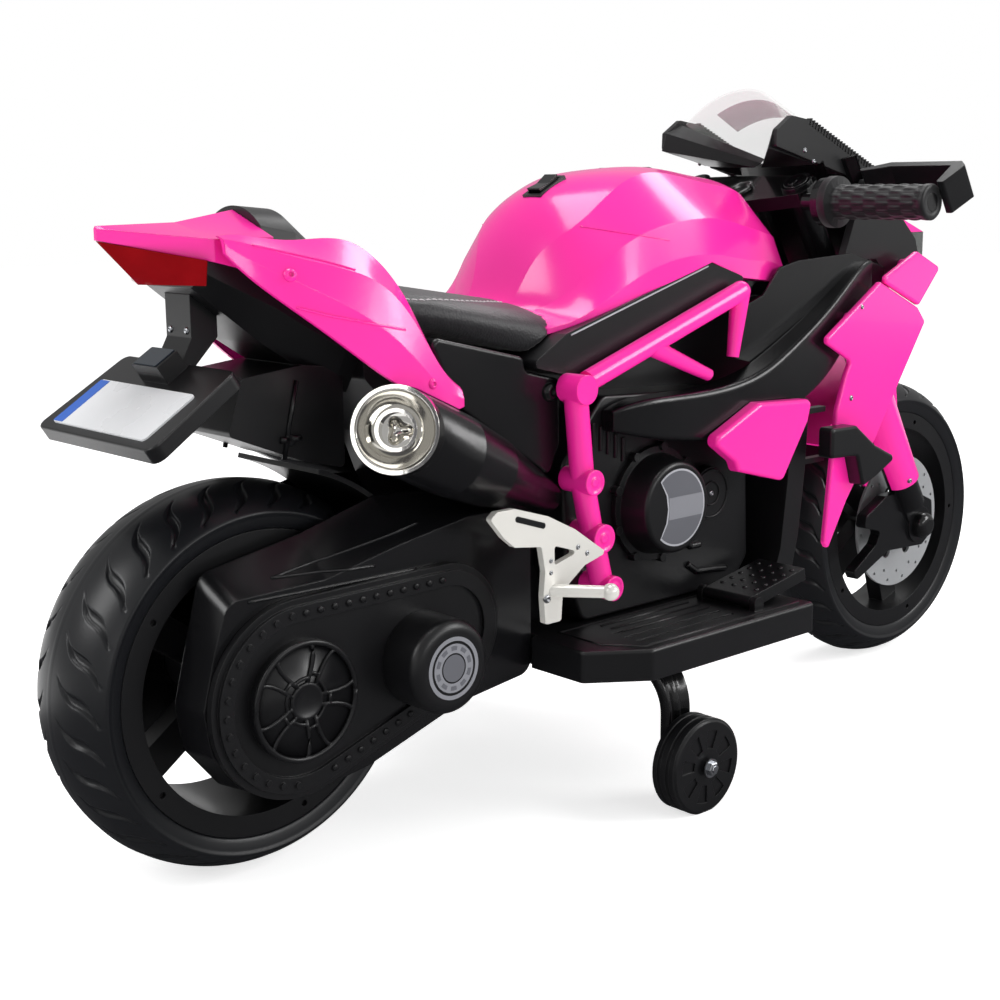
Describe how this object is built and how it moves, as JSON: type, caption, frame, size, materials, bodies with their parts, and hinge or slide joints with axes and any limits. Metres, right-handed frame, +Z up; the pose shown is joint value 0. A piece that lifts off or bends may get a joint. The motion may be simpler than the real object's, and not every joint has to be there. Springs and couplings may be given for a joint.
{
  "type": "kids electric motorbike",
  "caption": "Child's battery ride-on sport motorbike with steered fork, driven rear wheel, stabiliser wheels, foot pedal, padded seat and small windscreen.",
  "frame": {"origin": "on the ground below the middle of the wheelbase, in the middle plane", "axes": "+X forwards along the bike, +Y to the rider's left, +Z up"},
  "size_m": [1.13, 0.4602, 0.6023],
  "materials": {
    "pink_plastic": "glossy hot pink moulding",
    "black_plastic": "satin black moulding with fine grain",
    "gloss_black_plastic": "smooth black moulding",
    "black_steel": "black powder coat",
    "bare_steel": "zinc plated",
    "battery_case": "plain",
    "grey_plastic": "plain",
    "seat_vinyl": "grained vinyl with pale stitching",
    "red_lens": "red prismatic lens",
    "plate_white": "bare white plate",
    "chrome_plate": "bright plating on plastic",
    "smoke_lens": "smoked lens",
    "clear_screen": "clear sheet",
    "grip_rubber": "ribbed soft moulding",
    "tyre": "hard tyre moulding with grooves",
    "disc_grey": "silver finish"
  },
  "bodies": {
    "chassis": {"right_chassis_half": "black_plastic", "left_chassis_half": "black_plastic", "steering_head": "black_steel", "battery": "battery_case", "control_box": "battery_case", "swingarms": "gloss_black_plastic", "chain_covers": "black_plastic", "motor_caps": "black_plastic", "gearbox": "grey_plastic", "drive_motor": "bare_steel", "rear_axle": "bare_steel", "rear_mudguard": "black_plastic", "side_trims": "black_plastic", "seat_side_covers": "gloss_black_plastic", "tank_cover": "pink_plastic", "switch_bezel": "black_plastic", "seat": "seat_vinyl", "tail_cowl": "pink_plastic", "tail_lens": "red_lens", "tail_underbody": "black_plastic", "tail_pad": "black_plastic", "tail_panels": "pink_plastic", "plate_holder": "black_plastic", "number_plate": "plate_white", "mufflers": "gloss_black_plastic", "exhaust_tips": "chrome_plate", "engine_cases": "black_plastic", "engine_covers": "black_plastic", "air_ducts": "gloss_black_plastic", "frame_covers": "pink_plastic", "engine_guards": "black_plastic", "side_wings": "pink_plastic", "side_fairings": "pink_plastic", "winglets": "black_plastic", "nose_cowl": "pink_plastic", "headlamp_lens": "smoke_lens", "nose_chin": "black_plastic", "dash_cowl": "black_plastic", "windscreen": "clear_screen", "right_footboard": "black_plastic", "left_footboard": "black_plastic", "stabiliser_arms": "black_steel", "footrest_hangers": "chrome_plate"},
    "steering": {"steering_stem": "black_steel", "fork_legs": "gloss_black_plastic", "front_fender": "pink_plastic", "handlebars": "black_steel", "grips": "grip_rubber", "hand_guards": "black_plastic", "front_axle": "black_steel"},
    "front_wheel": {"front_tyre": "tyre", "front_rim": "black_plastic", "brake_discs": "disc_grey"},
    "rear_wheel": {"rear_tyre": "tyre", "rear_rim": "black_plastic"},
    "right_stabiliser": {"right_stabiliser_wheel": "black_plastic"},
    "left_stabiliser": {"left_stabiliser_wheel": "black_plastic"},
    "pedal": {"accelerator_pedal": "black_plastic"},
    "rocker": {"direction_rocker": "gloss_black_plastic"}
  },
  "joints": [
    {"name": "steering_turn", "type": "hinge", "parent": "chassis", "child": "steering", "pos_m": [0.187, 0, 0.5], "axis": [-0.5256, 0, 0.8507], "range_deg": [-24, 24]},
    {"name": "front_wheel_spin", "type": "hinge", "parent": "steering", "child": "front_wheel", "pos_m": [0.415, 0, 0.15], "axis": [0, 1, 0], "continuous": true},
    {"name": "rear_wheel_drive", "type": "hinge", "parent": "chassis", "child": "rear_wheel", "pos_m": [-0.415, 0, 0.15], "axis": [0, 1, 0], "continuous": true},
    {"name": "right_stabiliser_spin", "type": "hinge", "parent": "chassis", "child": "right_stabiliser", "pos_m": [-0.084, -0.185, 0.04], "axis": [0, 1, 0], "continuous": true},
    {"name": "left_stabiliser_spin", "type": "hinge", "parent": "chassis", "child": "left_stabiliser", "pos_m": [-0.084, 0.185, 0.04], "axis": [0, 1, 0], "continuous": true},
    {"name": "pedal_press", "type": "hinge", "parent": "chassis", "child": "pedal", "pos_m": [0.013, 0, 0.1561], "axis": [0, 1, 0], "range_deg": [0, 9.5], "stiffness_Nm_per_rad": 2, "springref_deg": -6.88},
    {"name": "direction_rock", "type": "hinge", "parent": "chassis", "child": "rocker", "pos_m": [-0.0782, 0, 0.51118], "axis": [0, 1, 0], "range_deg": [-9, 9]}
  ]
}
